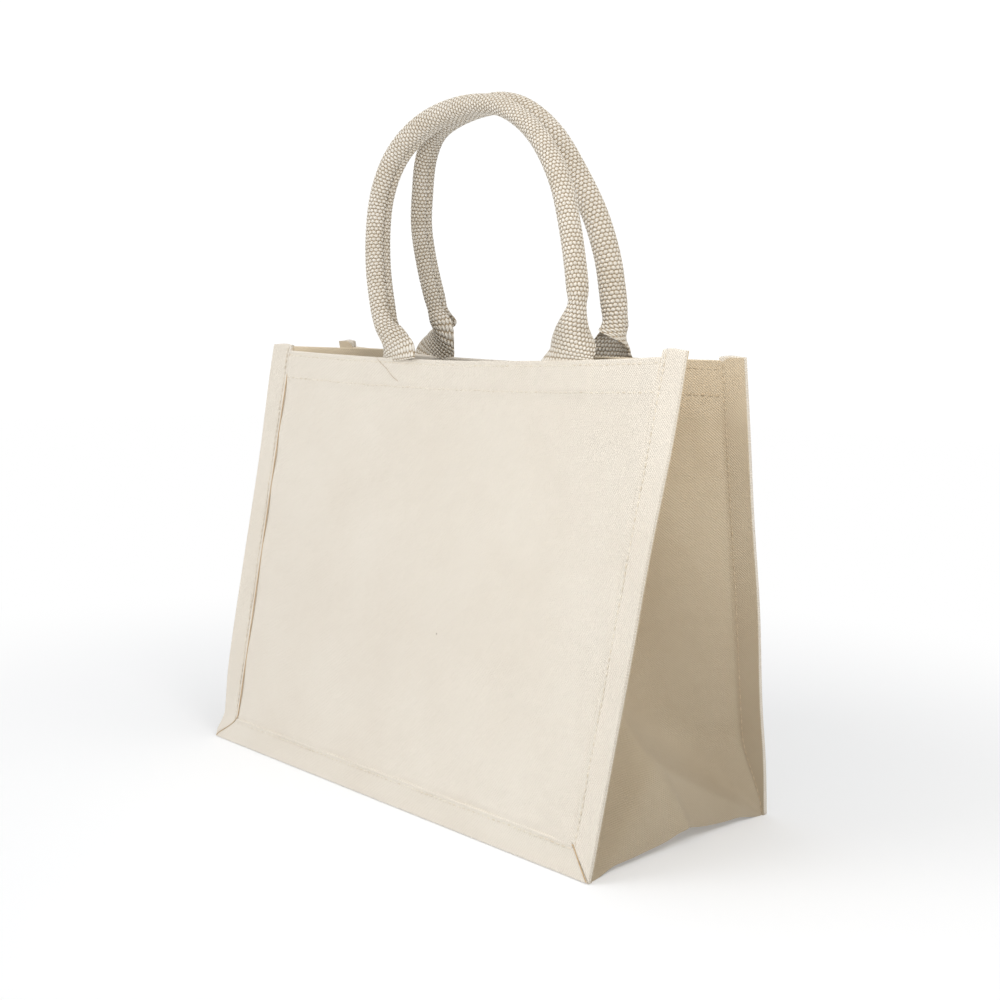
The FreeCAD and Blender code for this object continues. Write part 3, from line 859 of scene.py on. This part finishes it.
def build_gusset(label, side):
    grid, z = gusset_grid(side)
    normal = grid_normals(grid) * side
    if normal[100, wing_columns + 20, 0] * side < 0:
        normal = -normal
    across = arc_lengths(grid, 1)
    along = arc_lengths(grid, 0)
    fold = half_columns + wing_columns
    across = across - across[:, fold:fold + 1]
    uv = np.stack([across * MM + 0.5 * side, along * MM], -1)
    inner = grid - normal * canvas
    for facing in (-1, 1):
        wide = slice(0, fold + 1) if facing < 0 else slice(fold, 2 * fold + 1)
        columns = slice(wing_columns, fold + 1) if facing < 0 else slice(fold, fold + half_columns + 1)
        start = f"{label}_gusset_{facing_word[facing]}"
        half = slab(f"{start}_half", grid[:, wide], inner[:, wide], side_twill_painted_shade, uv[:, wide])
        fix_normals(half)
        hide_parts(label + "_gusset")
        top = int(np.argmin(np.abs(z[:, fold] - (rim_height - hem_depth))))
        band, out = grid[top:, columns], normal[top:, columns]
        near = band - out * (canvas + hem_clearance)
        hem = slab(f"{start}_hem_cloth", near, near - out * canvas, side_twill_painted_shade, uv[top:, columns])
        fix_normals(hem)
        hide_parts(label + "_gusset_hem")
        made = [half, hem, rim_fold(f"{start}_rim_fold", grid[-1, columns], normal[-1, columns])]
        for row_name, below in hem_rows.items():
            places = gusset_stitches(grid, normal, z, columns, below)
            seam = stitches(f"{start}_{row_name}_stitches", places, side_thread_painted_shade)
            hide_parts(f"{label}_gusset_{row_name}_thread")
            made.append(seam)
        beside = wing_columns - 1 if facing < 0 else fold + half_columns + 1
        places = seam_stitches(grid[:, beside], normal[:, beside])
        made.append(stitches(f"{start}_seam_stitches", places, side_thread_painted_shade))
        for piece in made:
            gusset_blend(piece)


def rim_fold(name, line, normal):
    """The rounded fold along the top of a folded side, over the cloth and its hem."""
    rings = []
    up = np.array([0, 0, 1.0])
    radius = canvas + 0.05
    turn = np.linspace(0, math.pi, 9)
    for point, out in zip(line, normal):
        middle = point - out * (canvas + 0.02) - up * 0.1
        rings.append([middle + radius * (math.cos(t) * out + math.sin(t) * up * 0.9) for t in turn])
    run = np.linalg.norm(line - line[0], axis=1)
    uv = np.stack(np.broadcast_arrays(run[:, None] * MM, np.linspace(0, 2.6, 9)[None, :] * MM), -1)
    return lofted(name, np.array(rings), side_twill_painted_shade, uv)


def gusset_stitches(grid, normal, z, columns, below):
    """Places of a row of stitches round the outside of a folded side."""
    row = int(np.argmin(np.abs(z[:, half_columns] - (rim_height - below))))
    line, out = grid[row, columns], normal[row, columns]
    run = length_along(line)
    count = int(run[-1] / stitch_pitch)
    stops = [(i + 0.5) * run[-1] / count for i in range(count)]
    return places_along(line, out, run, stops, 0.1)


def seam_stitches(line, out):
    """Places of the stitches that join a folded side to a fin, on the side's outer face."""
    run = length_along(line)
    return places_along(line, out, run, np.arange(4.0, run[-1] - 3, stitch_pitch), 0.05)


def build_bottom():
    """The floor of the bag: one length with the sides, low at the long seams and peaked between."""
    y = np.linspace(-1, 1, 121) * (seam_depth - 0.6)
    x = np.linspace(-1, 1, 200) * (gusset_spread - 1.2)
    gx, gy = np.meshgrid(x, y)
    wave = 0.8 * np.sin(gx / 41 + gy / 37) * np.cos(gy / 29) * (1 - (gy / seam_depth) ** 2)
    gz = bottom_edge(y)[:, None] + np.abs(wave) * 0.5 * (1 - (gx / gusset_spread) ** 4) + 0.05
    lower = np.stack([gx, gy, gz], -1)
    upper = lower + np.array([0, 0, canvas])
    obj = slab("bottom_canvas", lower, upper, side_twill_painted_shade, np.stack([gx * MM, gy * MM], -1))
    fix_normals(obj)
    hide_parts("bottom_panel")
    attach(obj, "base")


# ---------------------------------------------------------------- handles

# The line of a handle's middle, seen from the front: (x, height above the fold line). The first points were
# read off the photograph and projected back by a separate script, then rounded, thinned and moved by hand.
handle_line = {
    "front": [
        (-71, -9), (-72, -3), (-76, 6), (-81, 15), (-87, 29), (-96, 59), (-100, 90),
        (-98, 118), (-85, 144), (-58, 163), (-20, 172), (20, 169), (56, 149), (82, 119),
        (96, 89), (106, 57), (110, 38), (109, 24), (107, 12), (105, 0), (105, -9),
    ],
    "back": [
        (-84, -9), (-82, -2), (-76, 8), (-72, 18), (-76, 32), (-85, 61), (-90, 91),
        (-87, 116), (-79, 145), (-59, 165), (-12, 175), (22, 170), (51, 150), (72, 122),
        (88, 95), (98, 68), (102, 46), (104, 30), (105, 16), (105, 4), (105, -9),
    ],
}
leg_pinch = {("front", -1): -0.06, ("front", 1): 0.24, ("back", -1): 0.14, ("back", 1): -0.02}
fold_height = 316.35
fold_depth = 24.4           # of the webbing's middle from the bag's middle plane, at the fold line
crown_depth = 8.2
crown_top = 173.0
ring_spacing = 0.65         # between the rings of a handle's webbing
foot_press = 0.62           # how much a foot is pressed flat where it goes down behind the rim


def through(points, spacing):
    """Evenly spaced points on a smooth curve through a few points."""
    p = np.array(points, float)
    p = np.vstack([2 * p[0] - p[1], p, 2 * p[-1] - p[-2]])
    dense = []
    for i in range(1, len(p) - 2):
        a, b, c, d = p[i - 1:i + 3]
        t = np.linspace(0, 1, 24, endpoint=False)[:, None]
        square, cube = 2 * a - 5 * b + 4 * c - d, 3 * b - a - 3 * c + d
        dense.append(0.5 * (2 * b + (c - a) * t + square * t ** 2 + cube * t ** 3))
    dense = np.vstack(dense + [p[-2:-1]])
    for _ in range(30):
        dense[1:-1] = (dense[:-2] + 2 * dense[1:-1] + dense[2:]) / 4
    run = length_along(dense)
    at = np.linspace(0, run[-1], int(run[-1] / spacing))
    return np.stack([np.interp(at, run, dense[:, k]) for k in range(2)], -1), at


def handle_frames(name, facing, spacing):
    """Middle line, outward-of-loop and towards-the-front directions, height and run of a handle."""
    line, run = through(handle_line[name], spacing)
    x, height = line[:, 0], line[:, 1]
    share = np.clip(height / crown_top, -0.1, 1)
    depth = fold_depth + (crown_depth - fold_depth) * share
    cross = 1.5 * np.sin(math.pi * np.clip(height / crown_top, 0, 1)) * facing
    points = np.stack([x, facing * depth + cross, fold_height + height], -1)
    tangent = np.gradient(points, axis=0)
    tangent = tangent / np.linalg.norm(tangent, axis=1, keepdims=True)
    front = np.array([0, -1.0, 0])
    out = np.cross(front, tangent)
    out = out / np.linalg.norm(out, axis=1, keepdims=True)
    towards = np.cross(tangent, out)
    return points, tangent, out, towards, height, run


# For each foot: the heights between which it opens, how curled it stays at the rim, how far it turns, how
# much it narrows where it starts to open, and the side its hollow faces (1 is away from the middle plane).
foot_shape = {
    ("front", -1): {"start": -2.0, "flare": 22.0, "curl": 0.46, "turn": 0.9, "pinch": 0.04, "hollow": 1},
    ("front", 1): {"start": 4.0, "flare": 34.0, "curl": 0.42, "turn": 1.0, "pinch": 0.22, "hollow": 1},
    ("back", -1): {"start": 6.0, "flare": 32.0, "curl": 0.34, "turn": 0.8, "pinch": 0.10, "hollow": -1},
    ("back", 1): {"start": 8.0, "flare": 26.0, "curl": 0.36, "turn": 0.8, "pinch": 0.10, "hollow": 1},
}


def section_plan(name, facing, height, run):
    """Along a handle: curl (1 is a closed tube), turn of the webbing's middle, and pinch."""
    curl = np.ones_like(height)
    turn = np.zeros_like(height)
    pinch = np.zeros_like(height)
    half = run[-1] / 2
    for side in (-1, 1):
        here = run < half if side < 0 else run >= half
        shape = foot_shape[(name, side)]
        opened = 1 - smoothstep(height, shape["start"], shape["flare"])
        low = shape["curl"] * smoothstep(height, -9, 3)
        curl = np.where(here, 1 - (1 - low) * opened, curl)
        turned = 1 - smoothstep(height, shape["start"] - 4, shape["flare"] + 6)
        turn = np.where(here, facing * shape["hollow"] * shape["turn"] * turned, turn)
        waist = np.exp(-((height - shape["flare"]) / 6) ** 2)
        pinch = np.where(here, shape["pinch"] * waist, pinch)
    right = smoothstep(run / run[-1], 0.35, 0.65)
    leg = leg_pinch[(name, -1)] * (1 - right) + leg_pinch[(name, 1)] * right
    crown = 0.08 * np.sin(math.pi * run / run[-1]) ** 4
    return curl, turn, pinch + (leg + crown) * smoothstep(height, 4, 30)


def yarn_relief(a, s):
    """Plump yarns of the webbing in staggered rows, from 0 in the gaps to 1 on a yarn's back."""
    s = s + yarn_sway * yarn_along * np.abs(np.mod(a / yarn_across / 2, 1) - 0.5)
    row = np.floor(s / yarn_along + 0.5)
    beside = a / yarn_across - 0.5 * np.mod(row, 2)
    beside = beside - np.floor(beside + 0.5)
    ahead = s / yarn_along - row
    return np.sqrt(np.maximum(1 - (beside / yarn_half_width) ** 2 - (ahead / yarn_half_length) ** 2, 0))


def rolled_section(curl, turn, pinch, press, a):
    """Middle line of the webbing's section in (out of the loop, towards the front), with its normals."""
    closed = 2 * math.pi * 0.985 / webbing_width
    bend = closed * curl
    heading = math.pi / 2 - turn * math.pi / 2 + bend * a
    step = a[1] - a[0]
    dx, dy = np.cos(heading) * step, np.sin(heading) * step
    x = np.concatenate([[0], np.cumsum((dx[1:] + dx[:-1]) / 2)])
    y = np.concatenate([[0], np.cumsum((dy[1:] + dy[:-1]) / 2)])
    x, y = x - x.mean(), y - y.mean()
    lip = np.clip((np.abs(a) - (webbing_width / 2 - 5)) / 5, 0, 1) ** 2
    lip = lip * smoothstep(curl, 0.75, 1.0) * 1.8
    nx, ny = np.sin(heading), -np.cos(heading)
    x, y = x - nx * lip, y - ny * lip
    return x * (1 - pinch), y * (1 - 0.5 * pinch) * press, nx, ny


def build_handle(name, facing):
    points, tangent, out, towards, height, run = handle_frames(name, facing, ring_spacing)
    curl, turn, pinch = section_plan(name, facing, height, run)
    a = np.linspace(-webbing_width / 2, webbing_width / 2, 80)
    outer = np.empty((len(run), len(a), 3))
    inner = np.empty_like(outer)
    flat = smoothstep(height, -2, 6)
    press = 1 - foot_press * (1 - smoothstep(height, -3, 24))
    squeeze = 0.5 + 0.06 * np.sin(run / 23 + facing)
    for i in range(len(run)):
        x, y, nx, ny = rolled_section(curl[i], turn[i], pinch[i], press[i], a)
        middle = points[i] + x[:, None] * out[i] + y[:, None] * towards[i]
        normal = nx[:, None] * out[i] + ny[:, None] * towards[i]
        yarn = 0.75 * (yarn_relief(a, run[i]) - 0.5) * (0.35 + 0.65 * flat[i])
        outer[i] = middle + normal * (squeeze[i] * webbing_thickness + yarn)[:, None]
        inner[i] = middle - normal * (0.5 * webbing_thickness + 0.5 * yarn)[:, None]
    uv = np.stack(np.broadcast_arrays(a[None, :] * MM, run[:, None] * MM), -1)
    obj = slab(name + "_handle_rolled", outer, inner, webbing, uv)
    fix_normals(obj)
    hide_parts(name + "_handle_webbing")
    bend_at_rim(obj)
    closing = closing_stitches(name, points, tangent, out, height, run, pinch)
    parts = [closing, handle_cord(name, points, out, towards, height, run)]
    flat = (webbing_width * MM, float(run[-1]) * MM)


def bend_at_rim(obj):
    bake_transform(obj)


def closing_stitches(name, points, tangent, out, height, run, pinch):
    """Thread along the groove on the inside of the loop."""
    radius = webbing_width / (2 * math.pi) - 0.5
    places = []
    at = run[0]
    while at < run[-1]:
        i = int(np.searchsorted(run, at))
        if i < len(run) and height[i] > 36:
            places.append((points[i] - out[i] * radius * (1 - pinch[i]), tangent[i], -out[i]))
        at += stitch_pitch * 1.1
    obj = stitches(name + "_handle_closing_stitches", places, thread)
    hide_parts(name + "_handle_closing_thread")
    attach(obj, name + "_handle")
    return obj


def handle_cord(name, points, out, towards, height, run):
    """The three-strand cord inside the rolled webbing."""
    keep = np.where(height > 44)[0][::3]
    turn = np.linspace(0, 2 * math.pi, 24, endpoint=False)
    rings = []
    for i in keep:
        radius = 4.3 + 0.5 * np.abs(np.cos(1.5 * (turn + run[i] / 4.5)))
        across, ahead = (radius * np.cos(turn))[:, None], (radius * np.sin(turn))[:, None]
        rings.append(points[i] + across * out[i] + ahead * towards[i])
    uv = np.stack(np.broadcast_arrays(turn[None, :] * 4.5 * MM, run[keep][:, None] * MM), -1)
    obj = lofted(name + "_handle_cord", np.array(rings), cord, uv)
    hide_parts(name + "_handle_core")
    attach(obj, name + "_handle")
    return obj


def stray_thread():
    """A loose end of thread that lies on the front hem."""
    line, run = through([(-90, 319.5), (-84, 315), (-77, 311), (-70, 306), (-63, 302)], 0.5)
    middles = []
    for (u, v), s in zip(line, run):
        lift = 0.6 + 0.5 * math.sin(s / 3)
        middles.append(panel_point(-1, u, v, field_relief(-1, np.array(u), np.array(v)) + lift))
    turn = np.linspace(0, 2 * math.pi, 6, endpoint=False)
    section = stray_radius * np.stack([np.cos(turn), np.zeros(6), np.sin(turn)], -1)
    obj = thin_tube("stray_thread", middles, section, loose)
    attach(obj, "front_side")


# ---------------------------------------------------------------- build

build_panel("front", -1, -1)
build_panel("back", 1, 1)
build_gusset("left", -1)
build_gusset("right", 1)
build_bottom()
build_crease_shadow_lines()
build_handle("front", -1)
build_handle("back", 1)
stray_thread()


# ---------------------------------------------------------------- studio

def build_floor():
    """Pale paper that fades into the white backdrop away from the bag: it glows, faintly next to the bag,
    which lightens the shadows there, and fully far away.
    """
    bpy.ops.mesh.primitive_plane_add(size=8)
    floor = bpy.context.object
    floor.name = "studio_floor"
    material, tree, shader = node_material("studio_paper", (0.93, 0.95, 0.98), 1.0, 0.0)
    tone = ramp(tree, object_noise(tree, 3, 2), [(0.3, (0.925, 0.945, 0.975)), (0.7, (0.94, 0.96, 0.985))])
    tree.links.new(tone, shader.inputs["Base Color"])
    place, reach = add(tree, "ShaderNodeTexCoord"), add(tree, "ShaderNodeVectorMath", operation="LENGTH")
    tree.links.new(place.outputs["Object"], reach.inputs[0])
    away = add(tree, "ShaderNodeMapRange", interpolation_type="SMOOTHSTEP")
    for socket, value in (("From Min", 0.2), ("From Max", 0.8), ("To Min", 0.22)):
        away.inputs[socket].default_value = value
    tree.links.new(reach.outputs["Value"], away.inputs["Value"])
    # Painted light: the paper's glow, which also lightens the shadows next to the bag.
    glow = add(tree, "ShaderNodeEmission", Color=(1.0, 1.0, 1.0, 1), Strength=1.0)
    blend = add(tree, "ShaderNodeMixShader")
    tree.links.new(away.outputs["Result"], blend.inputs[0])
    tree.links.new(shader.outputs[0], blend.inputs[1])
    tree.links.new(glow.outputs[0], blend.inputs[2])
    tree.links.new(blend.outputs[0], tree.nodes["Material Output"].inputs["Surface"])
    floor.data.materials.append(material)


def area_light(name, place, target, size, watts, tint=(1, 1, 1)):
    data = bpy.data.lights.new(name, "AREA")
    data.shape = "DISK"
    data.size = size
    data.energy = watts
    data.color = tint
    lamp = bpy.data.objects.new(name, data)
    lamp.location = place
    lamp.rotation_euler = (Vector(target) - Vector(place)).to_track_quat("-Z", "Y").to_euler()
    bpy.context.scene.collection.objects.link(lamp)


def build_world():
    """Soft light, strongest from overhead; the backdrop behind it is plain white."""
    world = bpy.data.worlds.new("studio")
    world.use_nodes = True
    tree = world.node_tree
    light = tree.nodes["Background"]
    light.inputs["Strength"].default_value = 1.08
    direction, parts = add(tree, "ShaderNodeTexCoord"), add(tree, "ShaderNodeSeparateXYZ")
    tree.links.new(direction.outputs["Generated"], parts.inputs[0])
    height = math_node(tree, "MULTIPLY", math_node(tree, "ADD", parts.outputs[2], 1.0), 0.5)
    tones = [(0.5, (0.12, 0.11, 0.095)), (0.72, (0.42, 0.41, 0.39)), (0.98, (1.0, 1.0, 1.0))]
    dome = ramp(tree, height, tones)
    sideways = math_node(tree, "SUBTRACT", 0.8, math_node(tree, "MULTIPLY", parts.outputs[1], 0.45))
    tree.links.new(mixed(tree, 1.0, dome, sideways, "MULTIPLY"), light.inputs["Color"])
    backdrop = add(tree, "ShaderNodeBackground", Color=(1.0, 1.0, 1.0, 1), Strength=1.05)
    path, choice = add(tree, "ShaderNodeLightPath"), add(tree, "ShaderNodeMixShader")
    tree.links.new(path.outputs["Is Camera Ray"], choice.inputs[0])
    tree.links.new(light.outputs[0], choice.inputs[1])
    tree.links.new(backdrop.outputs[0], choice.inputs[2])
    tree.links.new(choice.outputs[0], tree.nodes["World Output"].inputs["Surface"])
    bpy.context.scene.world = world
    bpy.context.scene.view_settings.view_transform = "Standard"


def build_studio():
    build_floor()
    area_light("key", (-1.5, -2.6, 1.7), (0, 0, 0.2), 2.2, 33.5, (1.0, 0.99, 0.995))
    area_light("top", (-0.2, 0.3, 3.0), (0, 0, 0.2), 3.0, 16)
    area_light("fill", (0.62, -0.26, 0.66), (0.15, 0.0, 0.30), 0.3, 1.9, (1.0, 0.95, 0.88))
    build_world()


def build_camera():
    """The photograph's viewpoint. A least-squares fit to the bag's corners gave these numbers."""
    yaw, pitch, roll = math.radians(44.822), math.radians(8.154), math.radians(1.442)
    forward = Vector((-math.sin(yaw) * math.cos(pitch), math.cos(yaw) * math.cos(pitch), -math.sin(pitch)))
    level = Vector((math.cos(yaw), math.sin(yaw), 0))
    upright = level.cross(forward)
    right = level * math.cos(roll) + upright * math.sin(roll)
    up = upright * math.cos(roll) - level * math.sin(roll)
    data = bpy.data.cameras.new("camera")
    data.lens = 49.19
    data.sensor_width = 36
    data.shift_x = -0.0122
    data.shift_y = 0.0341
    camera = bpy.data.objects.new("camera", data)
    turn = Matrix((right, up, -forward)).transposed().to_4x4()
    camera.matrix_world = Matrix.Translation((0.71981, -0.69049, 0.32672)) @ turn
    bpy.context.scene.collection.objects.link(camera)
    bpy.context.scene.camera = camera


build_studio()
build_camera()
